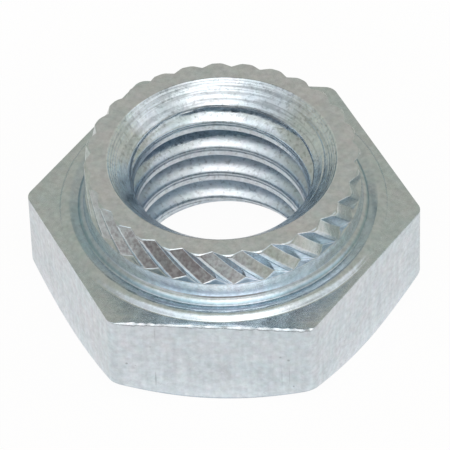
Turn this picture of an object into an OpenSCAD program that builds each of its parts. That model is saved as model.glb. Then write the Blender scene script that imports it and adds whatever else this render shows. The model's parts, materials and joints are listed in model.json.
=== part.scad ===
// Knurled-collar hex nut, M6, one solid piece of plated steel.
// The nut stands on the flat bottom face of its hex body, collar upward.
// Z is the thread axis, and two corners of the hex lie on the X axis. Millimetres.

/* [Hex body] */
// Width across the flats
across_flats = 10; // [9.6:0.1:12]
// Height of the hex body alone
hex_height = 3; // [2:0.1:5]
// Rounding of the six upright corners
corner_r = 0.4; // [0.1:0.05:0.8]
// Angle of the lower chamfer, measured from the bottom face
chamfer_angle = 28; // [15:1:40]
// How far the round bottom face stays inside the flats
bottom_inset = 0.2; // [0.05:0.05:0.5]

/* [Seat ring] */
// How far the seat ring stays inside the flats
seat_inset = 0.24; // [0.1:0.01:0.4]
// Height of the outer lip of the seat ring over the hex
seat_height = 0.16; // [0.12:0.01:0.4]
// Rounding of the outer lip
seat_round = 0.25; // [0.05:0.01:0.28]
// Height of the groove floor over the hex, at its inner side
groove_floor = 0.11; // [0.02:0.01:0.12]
// Width of the inner lip, outward from the collar
lip_width = 0.24; // [0.2:0.01:0.35]
// Height of the inner lip over the hex
lip_height = 0.24; // [0.2:0.01:0.4]
// Rounding of the inner lip
lip_round = 0.13; // [0.05:0.01:0.18]

/* [Collar] */
// Diameter of the collar over its crests and at its neck
collar_d = 8; // [7.6:0.05:8.4]
// Height of the collar over the hex
collar_height = 1.85; // [1.4:0.05:3]
// Height of the plain neck below the serrations, over the hex
neck_height = 0.7; // [0.5:0.05:1]
// Chamfer on the top edge of the serrations
top_chamfer = 0.07; // [0.02:0.01:0.15]

/* [Serrations] */
// Number of serrations around the collar
tooth_count = 28; // [20:1:40]
// Depth of the grooves between the crests
tooth_depth = 0.2; // [0.1:0.01:0.3]
// Angle between the grooves and the axis
helix_angle = 41; // [0:1:50]
// Share of each tooth pitch left as a crest land
crest_share = 0.25; // [0.1:0.05:0.5]

/* [Threaded bore] */
// Bore at the crests of the M6 thread
bore_d = 5; // [4.9:0.01:5.2]
// Diameter of the countersink in the collar
top_sink_d = 6.65; // [6:0.05:6.9]
// Diameter of the countersink in the bottom face
bottom_sink_d = 6.1; // [5.6:0.05:6.8]
// Included angle of both countersinks
sink_angle = 90; // [80:1:120]

/* [Hidden] */
// Curves are drawn with this many sides
$fn = 144;
// Overlap that keeps joined and cut faces from lying on each other
lap = 0.5;
// The crests stand this much inside the neck, so the two walls never coincide
crest_gap = 0.015;
// Share of corner_r by which a corner arc overshoots the flats, so that it crosses them cleanly
arc_overshoot = 0.005;
// Twisted layers of the serrations
layers = 8;

flat_r = across_flats / 2;
bottom_r = flat_r - bottom_inset;
seat_r = flat_r - seat_inset;
collar_r = collar_d / 2;
lip_r = collar_r + lip_width;
crest_r = collar_r - crest_gap;
valley_r = collar_r - tooth_depth;
total_height = hex_height + collar_height;
tooth_pitch = 360 / tooth_count;
// Turn of the serrations for each millimetre of height
turn_rate = tan(helix_angle) / collar_r * 180 / PI;

nut();

module nut()
    color("#b9bec4")
        difference() {
            union() {
                hex_body();
                seat_and_neck();
                serrations();
            }
            bore();
        }

// The hex, with rounded upright corners and the lower chamfer
module hex_body() {
    reach = across_flats;
    rise = (reach - bottom_r) * tan(chamfer_angle);
    intersection() {
        translate([0, 0, -lap]) linear_extrude(hex_height + lap) rounded_hexagon();
        rotate_extrude() polygon([
            [0, 0], [bottom_r, 0], [reach, rise],
            [reach, hex_height + rise], [0, hex_height + rise]
        ]);
    }
}

// Six flats, with each corner rounded by a true arc
module rounded_hexagon() {
    overshoot = arc_overshoot * corner_r;
    arc_x = (flat_r - corner_r + overshoot) / cos(30);
    land_x = arc_x + (corner_r - overshoot) * cos(30);
    intersection() {
        hexagon(flat_r);
        union() {
            rotate(30) hexagon(land_x);
            for (k = [0:5]) rotate(60 * k) translate([arc_x, 0]) circle(corner_r);
        }
    }
}

// A sharp hexagon with two corners on the X axis
module hexagon(inner_r) circle(inner_r / cos(30), $fn = 6);

// The raised seat ring, its shallow groove, the inner lip and the plain neck with its fillet
module seat_and_neck() {
    fillet_r = min(lip_width - lip_round, neck_height - lip_height) * 0.9;
    fillet_z = lip_height + fillet_r;
    translate([0, 0, hex_height]) rotate_extrude() {
        difference() {
            rounded_step(seat_r, seat_height, seat_round);
            polygon([
                [0, groove_floor], [lip_r, groove_floor], [seat_r - seat_round, seat_height],
                [seat_r - seat_round, lap], [0, lap]
            ]);
        }
        rounded_step(lip_r, lip_height, lip_round);
        difference() {
            polygon([
                [0, 0], [collar_r + fillet_r, 0], [collar_r + fillet_r, fillet_z],
                [collar_r, fillet_z], [collar_r, neck_height], [0, neck_height]
            ]);
            translate([collar_r + fillet_r, fillet_z]) circle(fillet_r);
        }
    }
}

// Half the section of a round step, with its upper corner rounded by a true arc
module rounded_step(step_r, step_height, round_r) {
    arc_x = step_r - round_r;
    arc_y = step_height - round_r;
    polygon([[0, -lap], [step_r, -lap], [step_r, arc_y], [arc_x, arc_y], [arc_x, step_height], [0, step_height]]);
    translate([arc_x, arc_y]) circle(round_r);
}

// Helical V serrations: a left-handed twist, with one groove over the X axis at the top
module serrations() {
    height = collar_height - neck_height + 2 * lap;
    start = total_height - height + lap;
    intersection() {
        translate([0, 0, start])
            rotate(turn_rate * (total_height - start))
                linear_extrude(height, twist = turn_rate * height, slices = layers)
                    serrated_section();
        rotate_extrude() polygon([
            [0, hex_height], [collar_r, hex_height], [collar_r, total_height - top_chamfer],
            [collar_r - top_chamfer, total_height], [0, total_height]
        ]);
    }
}

// Cross-section of the serrations, each crest a flat land between two V grooves
module serrated_section()
    polygon([for (k = [0:tooth_count - 1]) let (a = tooth_pitch * k, half = tooth_pitch * crest_share / 2)
        each [
            valley_r * [cos(a), sin(a)],
            crest_r * [cos(a + tooth_pitch / 2 - half), sin(a + tooth_pitch / 2 - half)],
            crest_r * [cos(a + tooth_pitch / 2 + half), sin(a + tooth_pitch / 2 + half)]
        ]]);

// The through bore and the countersinks at both ends
module bore() {
    translate([0, 0, -lap]) cylinder(d = bore_d, h = total_height + 2 * lap);
    translate([0, 0, total_height]) sink(top_sink_d);
    mirror([0, 0, 1]) sink(bottom_sink_d);
}

// A cone that opens upward and measures d at its own zero height
module sink(d) {
    slope = tan(sink_angle / 2);
    depth = d / 2 / slope;
    translate([0, 0, -depth]) cylinder(r1 = 0, r2 = d / 2 + lap * slope, h = depth + lap);
}
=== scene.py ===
import json
import math

import bpy
import numpy as np
from mathutils import Matrix, Vector, noise

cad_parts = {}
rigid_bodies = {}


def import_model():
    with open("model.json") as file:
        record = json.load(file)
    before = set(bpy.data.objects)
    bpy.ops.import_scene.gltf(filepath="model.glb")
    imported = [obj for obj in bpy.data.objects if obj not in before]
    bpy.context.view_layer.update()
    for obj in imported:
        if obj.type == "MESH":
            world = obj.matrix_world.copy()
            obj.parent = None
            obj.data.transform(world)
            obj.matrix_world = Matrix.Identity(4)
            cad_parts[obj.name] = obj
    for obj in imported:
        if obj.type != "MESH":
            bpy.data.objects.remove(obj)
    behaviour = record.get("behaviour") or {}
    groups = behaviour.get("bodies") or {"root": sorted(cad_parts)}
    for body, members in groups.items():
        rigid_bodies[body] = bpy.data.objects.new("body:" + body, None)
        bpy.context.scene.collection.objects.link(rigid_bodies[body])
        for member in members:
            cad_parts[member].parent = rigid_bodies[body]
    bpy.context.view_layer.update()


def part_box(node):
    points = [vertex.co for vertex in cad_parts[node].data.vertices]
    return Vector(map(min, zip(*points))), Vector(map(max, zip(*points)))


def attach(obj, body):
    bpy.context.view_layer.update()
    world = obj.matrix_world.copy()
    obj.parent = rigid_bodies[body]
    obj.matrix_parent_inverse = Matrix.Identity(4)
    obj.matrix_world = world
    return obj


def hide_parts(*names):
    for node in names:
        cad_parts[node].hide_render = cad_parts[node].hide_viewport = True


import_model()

MM = 0.001
_, nut_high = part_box("nut")

# ---- Sizes of the nut ---------------------------------------------------------------------------

TOP = nut_high.z                        # top face of the collar
FLAT_R = nut_high.y                     # half of the width across the flats
HEX_TOP = 3.0 * MM
CORNER_R = 0.4 * MM
CHAMFER = math.radians(31)              # lower chamfer, measured from the bottom face
BOTTOM_R = FLAT_R - 0.045 * MM          # rim of the flat bottom face
SEAT_R = FLAT_R - 0.18 * MM             # outer foot of the seat ring
SEAT_Z = HEX_TOP + 0.155 * MM           # crown of its outer bead
BEAD_R = 0.3 * MM                       # rounding of both beads
COLLAR_R = 4.0 * MM
CREASE_R = COLLAR_R + 0.07 * MM         # crease between the neck and the inner bead
CREASE_Z = HEX_TOP + 0.222 * MM
NECK_Z = HEX_TOP + 0.7 * MM             # top of the plain neck
CREST_R = COLLAR_R - 0.015 * MM
VALLEY_R = COLLAR_R - 0.2 * MM
CREST_CHAMFER = 0.07 * MM
TEETH = 28
CREST_SHARE = 0.16                      # share of each tooth that is left as a crest
TURN = math.tan(math.radians(41)) / COLLAR_R    # radians the serrations turn for each metre down
BORE_R = 2.54 * MM
DRIFT = 0.05 * MM                       # how far the thread axis lies off the collar's, toward -X
TAPER = 0.035                           # how much the bore and its thread narrow for each metre down
TOP_SINK_R = 3.325 * MM
BOTTOM_SINK_R = 3.05 * MM
PITCH = 1.0 * MM
ROOT_R = 3.1 * MM                       # bottom of the thread grooves
GROOVE_AT_X = 0.885 * MM                # height of a thread groove over the X axis
SHOULDER = 0.31 * MM                    # softness of a crest's upper shoulder, and of its lower lip
LIP_SOFT = 0.09 * MM
EDGE_SOFT = 0.12 * MM                   # softness of the edges where the countersinks run into the bore
SEAM_AT = 0.55                          # place of the seam along a crest, in turns above the groove
THREAD_LOW, THREAD_HIGH = 0.02 * MM, 4.555 * MM
RUN_OUT_Z = 4.1 * MM                    # above this the grooves grow shallower
RUN_OUT_EASE = 0.08 * MM                # height over which the lips soften above it
LIP_GRAIN, SEAM_GRAIN = 2600, 5200      # noise scales of the ragged lips and of the seam

CAMERA_AZIMUTH = math.radians(-84.33)
WEAR_AZIMUTH = math.radians(-89)        # middle and half length of the worn stretch of the hex's upper edge
WEAR_REACH = math.radians(31)

# ---- The blank: rings of points, each ring one closed turn round the axis ------------------------

PER_TOOTH = 15
COLUMNS = TEETH * PER_TOOTH
PER_SIDE = COLUMNS // 6
CORNER_STEPS = 6                        # columns on each side of a corner's middle
LAG = 17                                # columns by which the hex lags behind the collar's turn

column = np.arange(COLUMNS)
even = 2 * math.pi * column / COLUMNS
half_tooth = np.array([0.025, 0.1, 0.19, 0.29, 0.37, 0.41, 0.445])
tooth_places = np.concatenate([[0], half_tooth, 1 - half_tooth[::-1]])
toothed = (column // PER_TOOTH + tooth_places[column % PER_TOOTH]) * 2 * math.pi / TEETH
lagged = even + 2 * math.pi * LAG / COLUMNS


def on_circle(radius, angle):
    return np.stack([radius * np.cos(angle), radius * np.sin(angle)], axis=1)


def hex_outline():
    """The rounded hexagon, one point a column, and the outward direction at each point."""
    centre = (FLAT_R - CORNER_R) / math.cos(math.pi / 6)
    half_flat = centre / 2
    points, outward = [], []
    for i in (column + LAG) % COLUMNS:
        side, step = divmod(int(i) + PER_SIDE // 2, PER_SIDE)
        step -= PER_SIDE // 2
        corner = side * math.pi / 3
        if abs(step) <= CORNER_STEPS:
            turn = math.pi / 6 * step / CORNER_STEPS
            x, y = centre + CORNER_R * math.cos(turn), CORNER_R * math.sin(turn)
        else:
            turn = math.copysign(math.pi / 6, step)
            along = half_flat * (abs(step) - CORNER_STEPS) / (PER_SIDE / 2 - CORNER_STEPS)
            x = centre + CORNER_R * math.cos(turn) - along * math.sin(math.pi / 6)
            y = math.copysign(CORNER_R * math.sin(math.pi / 6) + along * math.cos(math.pi / 6), step)
        c, s = math.cos(corner), math.sin(corner)
        points.append((x * c - y * s, x * s + y * c))
        outward.append((math.cos(corner + turn), math.sin(corner + turn)))
    return np.array(points), np.array(outward)


class Rings:
    """Collects rings of points, with what the serration cutter needs to know of each ring."""

    def __init__(self):
        self.points, self.marks = [], []

    def add(self, plan, height, cut=0.0, edge=0.0, ledge=0.0):
        ring = np.empty((COLUMNS, 3))
        ring[:, :2] = plan
        ring[:, 2] = height
        self.points.append(ring)
        self.marks.append((cut, edge, ledge))


def arc(steps, start=0.0, end=90.0):
    return [math.radians(start + (end - start) * k / steps) for k in range(steps + 1)]


def body_rings():
    """All rings from the top of the thread, over the collar and the hex, to the bottom of the thread."""
    rings = Rings()
    sink_rings(rings)
    collar_rings(rings)
    seat_rings(rings)
    hex_rings(rings)
    return rings


def sink_rings(rings):
    """The upper countersink above the thread, with its turning marks, and its rounded rim."""
    rim = 0.03 * MM
    half = 0.016 * MM                   # half the width of a turning mark
    marks = ((0.25, 0.007), (0.186, 0.006), (0.12, 0.008), (0.062, 0.011))
    places = [(THREAD_HIGH, 0)]
    for depth, cut in marks:
        for side in (-1, -0.5, 0, 0.5, 1):
            places.append((TOP - depth * MM + side * half, cut * MM * (1 - abs(side))))
    for height, cut in places:
        rings.add(on_circle(TOP_SINK_R - (TOP - height) + cut, even), height)
    for angle in arc(4, 0, 45):
        radius = TOP_SINK_R + rim * (0.41 - math.sin(math.radians(45) - angle))
        rings.add(on_circle(radius, even), TOP - rim * (1 - math.cos(math.radians(45) - angle)))


def collar_rings(rings):
    """The top face, the serrated wall and the sloping foot of each groove."""
    edge_r = 0.03 * MM
    for share, radius in ((0.1, 3.37), (0.4, 3.48), (0.75, 3.62), (1, 3.72)):
        rings.add(on_circle(radius * MM, even + (toothed - even) * share), TOP)
    for angle in arc(5):
        edge = edge_r * (1 - math.sin(angle))
        height = TOP - edge_r * (1 - math.cos(angle))
        wall_ring(rings, height, edge)
    low = NECK_Z + 0.02 * MM
    heights = [TOP - CREST_CHAMFER * 0.8, TOP - CREST_CHAMFER * 1.2]
    heights += [heights[-1] + (low - heights[-1]) * k / 8 for k in range(1, 9)]
    for height in heights:
        wall_ring(rings, height, 0.0)
    bottom_turn = toothed + TURN * (TOP - NECK_Z)
    for share in (0.06, 0.5, 0.94):
        rings.add(on_circle(COLLAR_R, bottom_turn), NECK_Z + 0.005 * MM, ledge=share)
    rings.add(on_circle(COLLAR_R, bottom_turn), NECK_Z, ledge=1.0)


def wall_ring(rings, height, edge):
    crest = min(CREST_R, COLLAR_R - CREST_CHAMFER + TOP - height)
    rings.add(on_circle(crest - edge, toothed + TURN * (TOP - height)), height, cut=1.0, edge=edge)


def bead(crown_r, crown_z, start, end, steps):
    """An arc across a round bead, from the elevation where its face starts to the one where it ends."""
    return round_face(crown_r, crown_z - BEAD_R, BEAD_R, arc(steps, start, end))


def round_face(centre_r, centre_z, radius, angles):
    return [(centre_r + radius * math.cos(a), centre_z + radius * math.sin(a)) for a in angles]


def seat_rings(rings):
    """The tapered neck, the inner bead, the sloping groove and the outer bead, all turned."""
    tight = 0.004 * MM
    taper, fillet = 0.045 * MM, 0.05 * MM
    neck_top = NECK_Z - 0.02 * MM
    profile = [(COLLAR_R, NECK_Z - 0.012 * MM), (COLLAR_R + 0.001 * MM, neck_top)]
    for share in (0.03, 0.5, 0.97, 1):
        fall = (neck_top - CREASE_Z - fillet) * share
        profile.append((COLLAR_R + taper * share, neck_top - fall))
    profile += [(CREASE_R - 0.014 * MM, CREASE_Z + 0.5 * fillet), (CREASE_R - 0.5 * tight, CREASE_Z + tight)]
    inner_start, inner_end = 72, 30
    start = math.radians(inner_start)
    crown_r, crown_z = CREASE_R - BEAD_R * math.cos(start), CREASE_Z + BEAD_R * (1 - math.sin(start))
    profile.append((CREASE_R + 0.5 * tight, CREASE_Z))
    profile += bead(crown_r + tight, crown_z, inner_start, inner_end, 6)
    foot_r, foot_z = profile[-1]
    outer_start, outer_end = 97, 36
    steep = math.radians(outer_end)
    hollow_r = (SEAT_Z - HEX_TOP) / (1 - math.sin(steep)) - BEAD_R
    outer = bead(SEAT_R - (BEAD_R + hollow_r) * math.cos(steep), SEAT_Z, outer_start, outer_end, 8)
    hollow = round_face(SEAT_R, HEX_TOP + hollow_r, -hollow_r, arc(6, outer_end, 90))
    rise_r, rise_z = outer[0][0] - foot_r, outer[0][1] - foot_z
    for share in (0.02, 0.3, 0.65, 0.97):
        profile.append((foot_r + rise_r * share, foot_z + rise_z * share))
    profile += outer + hollow[1:]
    turn = toothed + TURN * (TOP - NECK_Z)
    rings_to_even = 12                  # rings over which the columns even out below the serrations
    for k, (radius, height) in enumerate(profile):
        share = min(1.0, (k + 1) / rings_to_even)
        rings.add(on_circle(radius, turn + (lagged - turn) * share), height)


def edge_wear(outline, spoke):
    """Width of the flat worn on the hex's upper edge, and height of its burr, both most at the front."""
    worn, burr = np.empty(COLUMNS), np.empty(COLUMNS)
    for i, (x, y) in enumerate(outline):
        away = abs(math.remainder(spoke[i] - WEAR_AZIMUTH, 2 * math.pi))
        front = min(1.0, max(0.0, (WEAR_REACH - away) / math.radians(3)))
        ragged = noise.noise(Vector((x, y, 0)) * 4200) + 0.7 * noise.noise(Vector((x, y, 1)) * 9000)
        worn[i] = max(0.006, 0.012 + front * (0.026 + 0.045 * ragged)) * MM
        burr[i] = front * max(0.0, 0.012 + 0.02 * noise.noise(Vector((x, y, 2)) * 6000)) * MM
    return worn, burr


def hex_rings(rings):
    """The hex top face, its edge, the six sides, the lower chamfer, the bottom and the lower rim."""
    outline, outward = hex_outline()
    reach = np.hypot(outline[:, 0], outline[:, 1])
    spoke = np.arctan2(outline[:, 1], outline[:, 0])
    seat_gap, edge_gap = 0.008 * MM, 0.035 * MM
    ring_edge = on_circle(SEAT_R + seat_gap, lagged)
    worn, burr = edge_wear(outline, spoke)
    burr_foot = 1.3                     # where the burr starts, in widths of the worn flat
    inner = outline - outward * (worn * burr_foot + edge_gap)[:, None]
    for share in (0.0, 0.5, 1.0):
        rings.add(ring_edge + (inner - ring_edge) * share, HEX_TOP)
    for back, drop in ((burr_foot, 0), (1.2, 0.07), (0.25, 0.88), (0.2, 0.98), (0.02, 1.5), (0, 1.6)):
        rings.add(outline - outward * (worn * back)[:, None], HEX_TOP + burr * back - worn * drop)
    foot = (reach - BOTTOM_R) * math.tan(CHAMFER)
    top, low = HEX_TOP - 0.17 * MM, foot + 0.075 * MM
    for share in (0, 0.15, 0.4, 0.65, 0.85, 1):
        rings.add(outline, top + (low - top) * share)
    for back, lift in ((0.004, 0.05), (0.014, 0.028)):
        rings.add(outline - outward * back * MM, foot + lift * MM)
    inset = 0.03 * MM
    for share in (0.06, 0.3, 0.6, 0.95):
        radius = reach - inset + (BOTTOM_R + inset - reach) * share
        rings.add(on_circle(radius, spoke), (radius - BOTTOM_R) * math.tan(CHAMFER))
    rings.add(on_circle(BOTTOM_R - 0.015 * MM, spoke), 0.0)
    spoke = lagged + (np.mod(spoke - lagged + math.pi, 2 * math.pi) - math.pi)
    for share, radius in ((0.1, 4.65), (0.4, 4.1), (0.7, 3.5), (1, 3.15)):
        rings.add(on_circle(radius * MM, spoke + (even - spoke) * share), 0.0)
    rings.add(on_circle(BOTTOM_SINK_R + 0.02 * MM, even), 0.0)
    rings.add(on_circle(BOTTOM_SINK_R - 0.002 * MM, even), 0.006 * MM)


# ---- The bore: rows that climb with the thread -----------------------------------------------------

# Heights of the rows over one turn of the thread, closest together on the lips and the seam
THREAD_ROWS = np.array([0, 0.03, 0.08, 0.14, 0.2, 0.25, 0.28, 0.31, 0.34, 0.37, 0.41, 0.46, 0.5,
                        SEAM_AT - 0.025, SEAM_AT, SEAM_AT + 0.025, 0.605, 0.64, 0.67, 0.7, 0.735,
                        0.77, 0.805, 0.845, 0.89, 0.93, 0.97]) * PITCH


def blank_bore(height, angle):
    """Radius of the untapped bore, with both countersinks blended into it."""
    bore = BORE_R - DRIFT * math.cos(angle) - TAPER * (RUN_OUT_Z - height)
    sink = max(TOP_SINK_R - (TOP - height), BOTTOM_SINK_R - height)
    return max(bore, sink) + max(EDGE_SOFT - abs(bore - sink), 0) ** 2 / (4 * EDGE_SOFT)


def bore_columns(first_vertex):
    """For each column the thread rows that lie inside the bore: points, and row number to vertex number."""
    points, columns = [], []
    near = 0.012 * MM
    rows = len(THREAD_ROWS)
    for angle in even:
        found = {}
        for turn in range(-2, 7):
            for place, offset in enumerate(THREAD_ROWS):
                height = GROOVE_AT_X + angle / (2 * math.pi) * PITCH + turn * PITCH + offset
                if THREAD_LOW + near < height < THREAD_HIGH - near:
                    radius = blank_bore(height, angle)
                    found[turn * rows + place] = first_vertex + len(points)
                    points.append((radius * math.cos(angle), radius * math.sin(angle), height))
        columns.append(found)
    return points, columns


def bore_faces(columns, low_ring, high_ring):
    """Joins neighbouring columns row by row; a row that leaves the bore ends on the ring there."""
    faces = []
    rows = len(THREAD_ROWS)
    for i in range(COLUMNS):
        here, after = columns[i], columns[(i + 1) % COLUMNS]
        if i == COLUMNS - 1:
            after = {row - rows: vertex for row, vertex in after.items()}
        j = (i + 1) % COLUMNS
        first, last = max(min(here), min(after)), min(max(here), max(after))
        for row in range(first, last):
            faces.append((here[row], here[row + 1], after[row + 1], after[row]))
        left = [here[r] for r in sorted(here) if r > last] + [high_ring[i]]
        right = [after[r] for r in sorted(after) if r > last] + [high_ring[j]]
        join_ends(faces, [here[last]] + left, [after[last]] + right)
        left = [low_ring[i]] + [here[r] for r in sorted(here) if r < first]
        right = [low_ring[j]] + [after[r] for r in sorted(after) if r < first]
        join_ends(faces, left + [here[first]], right + [after[first]])
    return faces


def join_ends(faces, left, right):
    """Fills the strip between two upright chains of vertices whose counts may differ."""
    a = b = 0
    while a < len(left) - 1 or b < len(right) - 1:
        if a < len(left) - 1 and b < len(right) - 1 and len(left) - a == len(right) - b:
            faces.append((left[a], left[a + 1], right[b + 1], right[b]))
            a, b = a + 1, b + 1
        elif len(left) - a > len(right) - b:
            faces.append((left[a], left[a + 1], right[b]))
            a += 1
        else:
            faces.append((left[a], right[b + 1], right[b]))
            b += 1


def make_blank():
    """The closed, unthreaded and unserrated nut, with the cutters' marks stored on its points."""
    rings = body_rings()
    count = len(rings.points)
    points = np.concatenate(rings.points)
    inner, columns = bore_columns(len(points))
    faces = []
    ring = np.arange(COLUMNS)
    following = (ring + 1) % COLUMNS
    for k in range(count - 1):
        a, b = k * COLUMNS, (k + 1) * COLUMNS
        faces += list(zip(a + ring, b + ring, b + following, a + following))
    faces += bore_faces(columns, (count - 1) * COLUMNS + ring, ring)
    mesh = bpy.data.meshes.new("nut")
    mesh.from_pydata(np.concatenate([points, inner]).tolist(), [], [tuple(map(int, f)) for f in faces])
    marks = np.repeat(np.array(rings.marks), COLUMNS, axis=0)
    for place, name in enumerate(("cut", "edge", "ledge")):
        values = np.concatenate([marks[:, place], np.zeros(len(inner))])
        mesh.attributes.new(name, "FLOAT", "POINT").data.foreach_set("value", values)
    threaded = np.concatenate([np.zeros(len(points)), np.ones(len(inner))])
    mesh.attributes.new("threaded", "FLOAT", "POINT").data.foreach_set("value", threaded)
    piece = bpy.data.objects.new("knurled_nut", mesh)
    bpy.context.scene.collection.objects.link(piece)
    return piece


# ---- Nodes -----------------------------------------------------------------------------------------

class Nodes:
    """Lays and joins the nodes of one tree."""

    def __init__(self, tree):
        self.nodes, self.links = tree.nodes, tree.links

    def feed(self, socket, value):
        if isinstance(value, bpy.types.NodeSocket):
            self.links.new(value, socket)
        else:
            socket.default_value = value

    def add(self, kind, fed=(), **settings):
        """Adds a node and gives its outputs. Its inputs are fed by name or by place."""
        made = self.nodes.new(kind)
        for name, value in settings.items():
            setattr(made, name, value)
        for key, value in dict(fed).items():
            self.feed(made.inputs[key], value)
        return made.outputs

    def math(self, operation, *values):
        return self.add("ShaderNodeMath", enumerate(values), operation=operation)[0]

    def product(self, *values):
        result = values[0]
        for value in values[1:]:
            result = self.math("MULTIPLY", result, value)
        return result


class Tree(Nodes):
    """A Geometry Nodes tree that moves the points of the nut by radius, angle and height."""

    def __init__(self, name, sizes):
        self.tree = bpy.data.node_groups.new(name, "GeometryNodeTree")
        super().__init__(self.tree)
        self.ids = {}
        self.socket("Geometry", "Geometry")
        for size in sizes:
            self.socket(size, "Float")
        self.socket("Finish", "Material")
        self.tree.interface.new_socket("Geometry", in_out="OUTPUT", socket_type="NodeSocketGeometry")
        self.size = self.add("NodeGroupInput")

    def socket(self, name, kind):
        made = self.tree.interface.new_socket(name, in_out="INPUT", socket_type="NodeSocket" + kind)
        self.ids[name] = made.identifier

    def mark(self, name):
        return self.add("GeometryNodeInputNamedAttribute", {"Name": name}, data_type="FLOAT")["Attribute"]

    def polar(self):
        """Radius, angle and height of each point, and the plan directions that go with them."""
        position = self.add("GeometryNodeInputPosition")[0]
        self.x, self.y, self.z = self.add("ShaderNodeSeparateXYZ", {0: position})
        squares = self.math("ADD", self.product(self.x, self.x), self.product(self.y, self.y))
        self.radius = self.math("SQRT", squares)
        self.angle = self.math("ARCTAN2", self.y, self.x)

    def uneven(self, scale):
        """Noise about zero, up to a half either way."""
        place = self.add("ShaderNodeCombineXYZ", {0: self.x, 1: self.y, 2: self.z})[0]
        made = self.add("ShaderNodeTexNoise", {"Vector": place, "Scale": scale, "Detail": 2})
        return self.math("SUBTRACT", made["Fac"], 0.5)

    def mix(self, share, first, second):
        rest = self.math("SUBTRACT", 1.0, share)
        return self.math("ADD", self.product(second, share), self.product(first, rest))

    def finish(self, radius, height):
        """Moves each point to its new radius and height, then ends the tree."""
        grow = self.math("DIVIDE", radius, self.radius)
        place = {0: self.product(self.x, grow), 1: self.product(self.y, grow), 2: height}
        place = self.add("ShaderNodeCombineXYZ", place)[0]
        moved = {"Geometry": self.size["Geometry"], "Position": place}
        moved = self.add("GeometryNodeSetPosition", moved)[0]
        solid = self.add("GeometryNodeRealizeInstances", {0: moved})[0]
        finished = {"Geometry": solid, "Material": self.size["Finish"]}
        finished = self.add("GeometryNodeSetMaterial", finished)[0]
        self.add("NodeGroupOutput", {0: finished})


# ---- The serration cutter and the tap ----------------------------------------------------------------

def serration_tree():
    """Slanting V grooves round the collar, each ending on a sloping foot above the neck."""
    t = Tree("serrations", ("Teeth", "Crest radius", "Valley radius", "Crest share", "Turn", "Top", "Foot",
                            "Foot rise", "Rise reach", "Soften"))
    t.polar()
    crest_r, valley_r, soft = t.size["Crest radius"], t.size["Valley radius"], t.size["Soften"]
    fall = t.math("SUBTRACT", t.size["Top"], t.math("MAXIMUM", t.z, t.size["Foot"]))
    turned = t.math("SUBTRACT", t.angle, t.product(fall, t.size["Turn"]))
    tooth = t.math("DIVIDE", t.product(turned, t.size["Teeth"]), 2 * math.pi)
    off_valley = t.math("ABSOLUTE", t.math("SUBTRACT", tooth, t.math("ROUND", tooth)))
    flank = t.product(t.math("SUBTRACT", 1.0, t.size["Crest share"]), 0.5)
    climb = t.product(t.math("DIVIDE", off_valley, flank), t.math("SUBTRACT", crest_r, valley_r))
    side = t.math("ADD", valley_r, climb)
    floor = t.math("SMOOTH_MAX", side, t.math("ADD", valley_r, t.product(soft, 0.4)), soft)
    wall = t.math("SMOOTH_MIN", floor, crest_r, soft)
    cut_wall = t.math("MINIMUM", t.radius, t.math("SUBTRACT", wall, t.mark("edge")))
    cut, ledge = t.mark("cut"), t.mark("ledge")
    on_ledge = t.math("GREATER_THAN", ledge, 0.0)
    radius = t.mix(cut, t.radius, cut_wall)
    radius = t.mix(on_ledge, radius, t.mix(ledge, wall, t.radius))
    in_groove = t.math("MAXIMUM", t.math("SUBTRACT", crest_r, radius), 0.0)
    above_foot = t.math("DIVIDE", t.math("SUBTRACT", t.z, t.size["Foot"]), t.size["Rise reach"])
    near_foot = t.math("MAXIMUM", t.math("SUBTRACT", 1.0, above_foot), 0.0)
    rise = t.product(in_groove, t.size["Foot rise"], near_foot, t.math("MAXIMUM", cut, on_ledge))
    t.finish(radius, t.math("ADD", t.z, rise))
    return t


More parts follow.
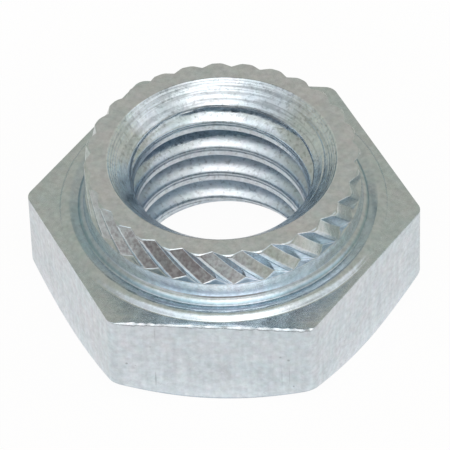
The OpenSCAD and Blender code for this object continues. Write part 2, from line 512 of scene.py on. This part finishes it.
def thread_tree():
    """A right-hand metric thread in the bore. Each crest has a round upper shoulder and a rough seam."""
    t = Tree("thread", ("Pitch", "Root radius", "Flank slope", "Groove height", "Shoulder", "Lip softness",
                        "Seam place", "Seam depth", "Seam half width", "Raggedness", "Run out",
                        "Run out slope", "Run out ease", "Drift", "Taper"))
    t.polar()
    lip, shoulder, run_out = t.size["Lip softness"], t.size["Shoulder"], t.size["Run out"]
    climb = t.product(t.math("DIVIDE", t.angle, 2 * math.pi), t.size["Pitch"])
    off = t.math("SUBTRACT", t.math("SUBTRACT", t.z, t.size["Groove height"]), climb)
    turn = t.math("DIVIDE", off, t.size["Pitch"])
    signed = t.math("SUBTRACT", turn, t.math("ROUND", turn))
    away = t.product(t.math("ABSOLUTE", signed), t.size["Pitch"])
    over = t.math("MAXIMUM", t.math("SUBTRACT", t.z, run_out), 0.0)
    aside = t.product(t.math("DIVIDE", t.x, t.radius), t.size["Drift"])
    lost = t.math("ADD", t.product(over, t.size["Run out slope"]), aside)
    lost = t.math("ADD", lost, t.product(t.math("SUBTRACT", run_out, t.z), t.size["Taper"]))
    root = t.math("SUBTRACT", t.size["Root radius"], lost)
    flank = t.math("SUBTRACT", root, t.product(away, t.size["Flank slope"]))
    rounded_root = t.math("SUBTRACT", root, t.product(lip, 0.3))
    groove = t.math("SMOOTH_MIN", flank, rounded_root, t.product(lip, 0.5))
    near_top = t.math("MINIMUM", t.math("DIVIDE", over, t.size["Run out ease"]), 1.0)
    soft = t.mix(near_top, t.mix(t.math("LESS_THAN", signed, 0.0), lip, shoulder), shoulder)
    ragged = t.product(t.uneven(LIP_GRAIN), t.size["Raggedness"], 2.0)
    cut = t.math("SMOOTH_MAX", t.radius, groove, t.math("ADD", soft, ragged))
    off_seam = t.math("SUBTRACT", t.math("FLOORED_MODULO", turn, 1.0), t.size["Seam place"])
    off_seam = t.product(t.math("ABSOLUTE", off_seam), t.size["Pitch"])
    notch = t.math("SUBTRACT", 1.0, t.math("DIVIDE", off_seam, t.size["Seam half width"]))
    depth = t.product(t.math("MAXIMUM", notch, 0.0), t.size["Seam depth"])
    depth = t.product(depth, t.math("ADD", 1.0, t.uneven(SEAM_GRAIN)))
    t.finish(t.mix(t.mark("threaded"), t.radius, t.math("ADD", cut, depth)), t.z)
    return t


def run_tree(piece, tree, finish, **sizes):
    """Runs one tree on the piece and keeps the result as a plain mesh."""
    modifier = piece.modifiers.new(tree.tree.name, "NODES")
    modifier.node_group = tree.tree
    for name, value in sizes.items():
        modifier[tree.ids[name.replace("_", " ")]] = float(value)
    modifier[tree.ids["Finish"]] = finish
    bpy.context.view_layer.update()
    ready = piece.evaluated_get(bpy.context.evaluated_depsgraph_get())
    mesh = bpy.data.meshes.new_from_object(ready)
    piece.modifiers.remove(modifier)
    piece.data = mesh


def smooth_by_area(mesh):
    """Smooth shading in which a large face outweighs the narrow rounding beside it."""
    corners = np.empty(len(mesh.loops), np.int32)
    mesh.loops.foreach_get("vertex_index", corners)
    counts, areas = np.empty(len(mesh.polygons), np.int32), np.empty(len(mesh.polygons))
    flat = np.empty(len(mesh.polygons) * 3)
    mesh.polygons.foreach_get("loop_total", counts)
    mesh.polygons.foreach_get("area", areas)
    mesh.polygons.foreach_get("normal", flat)
    pull = np.repeat(flat.reshape(-1, 3) * areas[:, None], counts, axis=0)
    normals = np.stack([np.bincount(corners, pull[:, k], len(mesh.vertices)) for k in range(3)], axis=1)
    normals /= np.linalg.norm(normals, axis=1)[:, None]
    mesh.polygons.foreach_set("use_smooth", np.ones(len(mesh.polygons), bool))
    mesh.normals_split_custom_set_from_vertices(normals.tolist())


# ---- Finish ----------------------------------------------------------------------------------------

# Pits and fine scratches: centre, half width and half height in millimetres, and how dark
BLEMISHES = (
    ((-2.45, -5.0, 1.37), 0.055, 0.055, 0.4), ((2.2, -5.0, 1.75), 0.06, 0.055, 0.34),
    ((2.33, -5.0, 0.67), 0.045, 0.045, 0.34), ((1.97, -5.0, 1.86), 0.045, 0.045, 0.26),
    ((-2.2, -5.0, 1.3), 0.04, 0.04, 0.2), ((-1.75, -5.0, 2.1), 0.05, 0.05, 0.14),
    ((0.07, -4.3, 3.14), 0.06, 0.05, 0.45), ((0.8, -4.25, 3.14), 0.05, 0.04, 0.3),
    ((-2.75, -3.45, 3.17), 0.06, 0.06, 0.3), ((-4.15, -0.1, 3.26), 0.07, 0.06, 0.25),
    ((-1.63, -5.0, 0.77), 0.032, 0.42, 0.26), ((-1.6, -5.0, 2.62), 0.026, 0.35, 0.14),
    ((2.0, -5.0, 1.0), 0.026, 0.6, 0.13), ((2.22, -5.0, 1.1), 0.026, 0.5, 0.15),
    ((3.4, -3.99, 1.55), 0.03, 0.45, 0.16), ((0.35, -5.0, 1.6), 0.06, 0.2, 0.08),
)
BUMP_DEPTH = 0.01 * MM


class Shading(Nodes):
    """Lays and joins the nodes of a material or of the world."""

    def __init__(self, owner):
        owner.use_nodes = True
        super().__init__(owner.node_tree)

    def vector(self, operation, *values, output="Vector"):
        return self.add("ShaderNodeVectorMath", enumerate(values), operation=operation)[output]

    def grains(self, scale, detail, place):
        return self.add("ShaderNodeTexNoise", {"Vector": place, "Scale": scale, "Detail": detail})

    def span(self, value, low, high, to_low=0, to_high=1, smooth=False):
        """Runs from to_low to to_high as the value runs from low to high."""
        fed = {"Value": value, "From Min": low, "From Max": high, "To Min": to_low, "To Max": to_high}
        kind = "SMOOTHSTEP" if smooth else "LINEAR"
        return self.add("ShaderNodeMapRange", fed, interpolation_type=kind)["Result"]

    def band(self, value, start, full, fade, end):
        """1 from full to fade, and 0 before the start and past the end."""
        return self.math("MINIMUM", self.span(value, start, full), self.span(value, fade, end, 1, 0))

    def mix(self, share, first, second, kind="MIX"):
        """Mixes two colours. The places are those of the colour sockets among all the node's sockets."""
        fed = {0: share, 6: first, 7: second}
        return self.add("ShaderNodeMix", fed, data_type="RGBA", blend_type=kind)[2]

    def bump(self, height, strength, **under):
        fed = {"Height": height, "Strength": strength, "Distance": BUMP_DEPTH}
        return self.add("ShaderNodeBump", {**fed, **under})["Normal"]


class Plate(Shading):
    """Bright zinc plate. Its tone is laid in layers, each on its own part of the nut, in millimetres."""

    def __init__(self):
        self.material = bpy.data.materials.new("bright_zinc_plate")
        super().__init__(self.material)
        self.shader = self.nodes["Principled BSDF"].inputs
        self.place = self.add("ShaderNodeTexCoord")["Object"]
        self.in_mm = self.vector("DIVIDE", self.place, (MM, MM, MM))
        self.across = self.vector("DOT_PRODUCT", self.in_mm, (1, 0, 0), output="Value")
        self.height = self.vector("DOT_PRODUCT", self.in_mm, (0, 0, 1), output="Value")
        self.reach = self.vector("LENGTH", self.vector("MULTIPLY", self.in_mm, (1, 1, 0)), output="Value")
        normal = self.add("ShaderNodeNewGeometry")["Normal"]
        self.upright = self.vector("DOT_PRODUCT", normal, (0, 0, 1), output="Value")
        self.aside = self.math("ABSOLUTE", self.across)
        self.in_bore = self.product(self.span(self.reach, 3.33, 3.35, 1, 0), self.span(self.height, 0, 0.02))
        self.mottle = self.grains(6500, 3, self.place)["Fac"]
        self.speckle = self.grains(9000, 2, self.place)["Fac"]

    def tint(self, share, colour):
        self.tone = self.mix(share, self.tone, colour, "MULTIPLY")

    def lay_ground(self):
        """Mottled grey with a slight tinge of other colours."""
        cloud = self.span(self.grains(900, 4, self.place)["Fac"], 0.35, 0.65)
        self.tone = self.mix(cloud, (0.615, 0.72, 0.785, 1), (0.65, 0.72, 0.785, 1))
        self.tone = self.mix(0.1, self.tone, self.grains(4200, 2, self.place)["Color"], "OVERLAY")
        self.tint(1.0, self.span(self.mottle, 0.25, 0.75, 0.87, 1.13))

    def lay_sides(self):
        """Streaks drawn out along Z on the six sides; a painted reflection of the floor pales them toward the
        bottom.
        """
        on_side = self.span(self.upright, 0, 0.3, 1, 0, smooth=True)
        drawn = self.grains(6000, 2, self.vector("MULTIPLY", self.place, (1, 1, 0.08)))["Fac"]
        self.tint(on_side, self.span(drawn, 0.25, 0.75, 0.93, 1.07))
        # Painted reflection: the sides grow paler toward the bottom, as if lit by the white floor
        self.tint(on_side, self.span(self.height, 0.1, 0.9, 1.13, 1))

    def lay_bore(self):
        """Dark specks all over the bore, and turned lines on its upper cone, faint toward its sides."""
        self.tint(self.in_bore, self.span(self.speckle, 0.36, 0.44, 0.78, 1))
        run_out = RUN_OUT_Z / MM
        on_cone = self.product(self.in_bore, self.span(self.height, run_out, run_out + 0.05))
        turned = self.grains(1, 3, self.vector("MULTIPLY", self.place, (450, 450, 15000)))["Fac"]
        strong, faint = self.span(turned, 0.4, 0.53, 0.62, 0.97), self.span(turned, 0.4, 0.53, 0.98, 1.22)
        self.tint(on_cone, self.mix(self.span(self.aside, 1.3, 2.7), strong, faint))

    def lay_collar(self):
        """Dull upper flanks with a painted dark reflection, painted shade on the lower flanks and undersides
        of the serrations, and painted light that pales the top face.
        """
        neck, top = NECK_Z / MM, TOP / MM
        above_neck = self.span(self.height, neck, neck + 0.02)
        off_bore = self.span(self.in_bore, 0, 1, 1, 0)
        upper_flank = self.product(self.band(self.upright, 0.05, 0.15, 0.5, 0.6), above_neck, off_bore)
        # Brown-mauve on the upward flanks: partly the rolled surface's own dull tone, partly a painted dark
        # reflection
        dull_tone_and_dark_reflection = self.mix(self.span(self.speckle, 0.35, 0.6), (0.72, 0.65, 0.64, 1), (1, 0.96, 0.93, 1))
        # Painted light: the upward flanks are paler on the right and at the far left
        right, left = self.span(self.across, 0.3, 2.4, 0, 0.75), self.span(self.across, -3.5, -2.8, 0.7, 0)
        self.tint(upper_flank, self.mix(self.math("MAXIMUM", right, left), dull_tone_and_dark_reflection, (1.08, 1.08, 1.04, 1)))
        # Painted shade on the downward-facing lower flanks, strongest on the left
        lower_flank = self.product(
            self.span(self.upright, -0.02, -0.12), self.span(self.across, -0.6, 2.2, 1, 0.1),
            self.span(self.height, neck, neck + 0.25), self.span(self.reach, 3.7, 3.72))
        self.tint(lower_flank, (0.42, 0.5, 0.55, 1))
        # Painted light: the collar's top face is made paler and a little pinker
        self.tint(self.span(self.height, top - 0.004, top - 0.001), (1.12, 1.06, 1.08, 1))
        # Painted shade on the downward faces of the serrations, deeper toward the neck
        down = self.product(self.span(self.upright, -0.1, -0.2), self.span(self.height, neck, top, 1, 0.5))
        self.tint(down, (0.75, 0.79, 0.83, 1))

    def lay_seat(self):
        """Painted light on the neck; from the inner bead's foot to the groove's rise, blue-grey plate tint
        and painted shade.
        """
        neck = NECK_Z / MM
        # Painted light: the neck is brightened
        on_neck = self.product(self.band(self.reach, 3.97, 3.99, 4.06, 4.07),
                               self.band(self.height, 3.23, 3.26, neck - 0.03, neck - 0.01))
        self.tint(on_neck, (1.22, 1.2, 1.18, 1))
        low = self.product(self.span(self.upright, 0.2, 0.4), self.span(self.height, 3.3, 3.35, 1, 0))
        # Painted shade, blue-grey, on the inner bead's outer slope down to its foot
        bead_foot = self.band(self.reach, 4.13, 4.19, 4.21, 4.24)
        self.tint(self.product(low, bead_foot), (0.62, 0.75, 0.78, 1))
        # Painted shade in the hollow of the groove, on its rise near the middle
        groove_rise = self.band(self.reach, 4.34, 4.42, 4.485, 4.505)
        near_middle = self.span(self.aside, 1.6, 3, 1, 0)
        self.tint(self.product(low, groove_rise, near_middle), (0.42, 0.44, 0.47, 1))
        # Partly the plate's own blue tint, partly painted shade that dims the highlights on the groove and
        # the beads
        # The blue takes in the groove and, off the middle, the inner bead and the thread's upward flanks
        in_groove = self.span(self.reach, 4.17, 4.22, 0, 0.5)
        left, right = self.span(self.across, -3, -1.5, 1, 0), self.span(self.across, 0.8, 2.2, 0, 0.6)
        within = self.product(self.span(self.reach, 4.17, 4.22, 1, 0), self.math("MAXIMUM", left, right))
        outer_limit = self.span(self.reach, 4.42, 4.52, 1, 0)
        right_limit = self.span(self.across, 2.6, 4, 1, 0.3)
        blue = self.product(low, outer_limit, self.math("ADD", in_groove, within), right_limit)
        self.tint(blue, (0.76, 0.82, 0.9, 1))

    def lay_blemishes(self):
        for centre, half_width, half_height, dark in BLEMISHES:
            off = self.vector("SUBTRACT", self.in_mm, centre)
            off = self.vector("DIVIDE", off, (half_width, half_width, half_height))
            off = self.vector("LENGTH", off, output="Value")
            self.tint(1.0, self.span(off, 0.3, 1, 1 - dark, 1, smooth=True))

    def lay_grain(self):
        """Fine grain in the gloss and the relief; the hex is duller than the collar."""
        grain = self.grains(9000, 3, self.place)["Fac"]
        dull_hex = self.span(self.height, 2.98, 3.02, 0.12, 0)
        rough = self.math("ADD", self.span(grain, 0.25, 0.75, 0.14, 0.26), dull_hex)
        self.feed(self.shader["Roughness"], rough)
        self.feed(self.shader["Normal"], self.bump(grain, 0.25, Normal=self.bump(self.mottle, 0.4)))


def plated_steel():
    """The one material of the nut."""
    plate = Plate()
    plate.feed(plate.shader["Metallic"], 1.0)
    plate.lay_ground()
    plate.lay_sides()
    plate.lay_bore()
    plate.lay_collar()
    plate.lay_seat()
    plate.lay_blemishes()
    plate.feed(plate.shader["Base Color"], plate.tone)
    plate.lay_grain()
    return plate.material


# ---- Camera, lamps and floor ------------------------------------------------------------------------

def make_camera():
    """Looks down on the nut from the front, along its axis of view and with its slight roll."""
    unit = FLAT_R / math.cos(math.pi / 6)
    pitch, swing, roll = 0.7915, 0.099, 0.0345
    distance, aside, lift = 25 * unit, 0.0033 * unit, -0.113 * unit
    turn = Matrix.Rotation(swing, 3, "Z")
    forward = turn @ Vector((0, math.cos(pitch), -math.sin(pitch)))
    right = turn @ Vector((1, 0, 0))
    up = right.cross(forward)
    data = bpy.data.cameras.new("camera")
    data.sensor_width = 36
    data.lens = 397.6
    data.clip_start = 0.01
    camera = bpy.data.objects.new("camera", data)
    place = Vector((0, 0, HEX_TOP)) - forward * distance + right * aside + up * lift
    across = right * math.cos(roll) - up * math.sin(roll)
    above = right * math.sin(roll) + up * math.cos(roll)
    frame_axes = Matrix((across, above, -forward)).transposed().to_4x4()
    camera.matrix_world = Matrix.Translation(place) @ frame_axes
    bpy.context.scene.collection.objects.link(camera)
    bpy.context.scene.camera = camera


def toward(azimuth, elevation):
    """A direction seen from the nut. Azimuth 0 is the camera's side and 90 is to its right."""
    a, e = math.radians(azimuth) + CAMERA_AZIMUTH, math.radians(elevation)
    return Vector((math.cos(a) * math.cos(e), math.sin(a) * math.cos(e), math.sin(e)))


def make_lamp(name, azimuth, elevation, distance, width, height, power):
    """A softbox that faces the nut."""
    data = bpy.data.lights.new(name, "AREA")
    data.shape = "RECTANGLE"
    data.size, data.size_y = width, height
    data.energy = power
    lamp = bpy.data.objects.new(name, data)
    out = toward(azimuth, elevation)
    lamp.location = out * distance
    lamp.rotation_mode = "QUATERNION"
    lamp.rotation_quaternion = (-out).to_track_quat("-Z", "Y")
    lamp.visible_camera = False
    bpy.context.scene.collection.objects.link(lamp)


def make_world():
    """A pale room: white to the camera, and to the metal an olive-grey wall with patches of light."""
    world = bpy.data.worlds.new("studio")
    bpy.context.scene.world = world
    w = Shading(world)
    where = w.add("ShaderNodeTexCoord")["Generated"]
    olive, grey, dim = (0.5, 0.48, 0.405, 1), (0.57, 0.55, 0.52, 1), (0.31, 0.285, 0.27, 1)
    left_light, right_light = (0.85, 0.85, 0.84, 1), (0.92, 0.91, 0.89, 1)
    white = (1.55, 1.4, 1.32, 1)
    # Azimuth and elevation of each patch, how near to it the patch starts and is full, and its colour
    patches = ((-10, 0, 0.1, 0.5, grey), (2, -4, 0.83, 0.95, dim), (-48, 43, 0.885, 0.965, left_light),
               (80, 36, 0.925, 0.985, right_light), (10, 48, 0.87, 0.97, white), (10, 58, 0.915, 0.96, white))
    room = olive
    for azimuth, elevation, start, full, colour in patches:
        near = w.vector("DOT_PRODUCT", where, toward(azimuth, elevation), output="Value")
        room = w.mix(w.span(near, start, full, smooth=True), room, colour)
    seen = w.mix(w.add("ShaderNodeLightPath")["Is Camera Ray"], room, (1, 1, 1, 1))
    back = w.nodes["Background"].inputs
    w.feed(back["Color"], seen)
    w.feed(back["Strength"], 1)


def make_floor():
    """A small round white floor that fades out and takes a soft shadow; it is clear from below."""
    mesh = bpy.data.meshes.new("floor")
    reach, sides = 0.03, 64
    angles = np.linspace(0, 2 * math.pi, sides, endpoint=False)
    rim = [(reach * math.cos(a), reach * math.sin(a), 0) for a in angles]
    mesh.from_pydata(rim, [], [tuple(range(sides))])
    floor = bpy.data.objects.new("floor", mesh)
    floor.location.z = -0.01 * MM
    bpy.context.scene.collection.objects.link(floor)
    mesh.materials.append(floor_paint())


def floor_paint():
    """White paint that also glows a little, so that the floor stays as white as the room round it."""
    material = bpy.data.materials.new("white_floor")
    f = Shading(material)
    shader = f.nodes["Principled BSDF"]
    f.feed(shader.inputs["Base Color"], (0.9, 0.87, 0.86, 1))
    f.feed(shader.inputs["Roughness"], 0.9)
    f.feed(shader.inputs["Specular IOR Level"], 0.0)
    path = f.add("ShaderNodeLightPath")
    glow_colour = f.mix(path["Is Camera Ray"], (0.95, 0.9, 0.87, 1), (1, 1, 1, 1))
    glow = f.add("ShaderNodeEmission", {"Color": glow_colour, "Strength": 1.0})[0]
    seen = f.math("ADD", f.product(path["Is Camera Ray"], 0.96), f.product(path["Is Glossy Ray"], 0.8))
    lit = f.add("ShaderNodeMixShader", {0: seen, 1: shader.outputs[0], 2: glow})[0]
    off_centre = f.vector("LENGTH", f.add("ShaderNodeTexCoord")["Object"], output="Value")
    fade = f.span(off_centre, 0.009, 0.02, smooth=True)
    hidden = f.math("MAXIMUM", fade, f.add("ShaderNodeNewGeometry")["Backfacing"])
    clear = f.add("ShaderNodeBsdfTransparent")[0]
    surface = f.add("ShaderNodeMixShader", {0: hidden, 1: lit, 2: clear})[0]
    f.feed(f.nodes["Material Output"].inputs["Surface"], surface)
    return material


# ---- Making ------------------------------------------------------------------------------------------

bpy.context.scene.view_settings.view_transform = "Standard"
make_camera()
finish = plated_steel()
nut = make_blank()
run_tree(nut, serration_tree(), finish, Teeth=TEETH, Crest_radius=CREST_R, Valley_radius=VALLEY_R,
         Crest_share=CREST_SHARE, Turn=TURN, Top=TOP, Foot=NECK_Z, Foot_rise=0.3, Rise_reach=0.6 * MM,
         Soften=0.02 * MM)
run_tree(nut, thread_tree(), finish, Pitch=PITCH, Root_radius=ROOT_R, Groove_height=GROOVE_AT_X,
         Flank_slope=math.tan(math.radians(60)), Shoulder=SHOULDER, Lip_softness=LIP_SOFT, Seam_place=SEAM_AT,
         Seam_depth=0.025 * MM, Seam_half_width=0.025 * MM, Raggedness=0.02 * MM, Run_out=RUN_OUT_Z,
         Run_out_slope=3, Run_out_ease=RUN_OUT_EASE, Drift=DRIFT, Taper=TAPER)
smooth_by_area(nut.data)
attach(nut, "root")
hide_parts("nut")
make_world()
make_lamp("softbox", azimuth=8, elevation=60, distance=0.35, width=0.5, height=0.4, power=0.25)
make_floor()
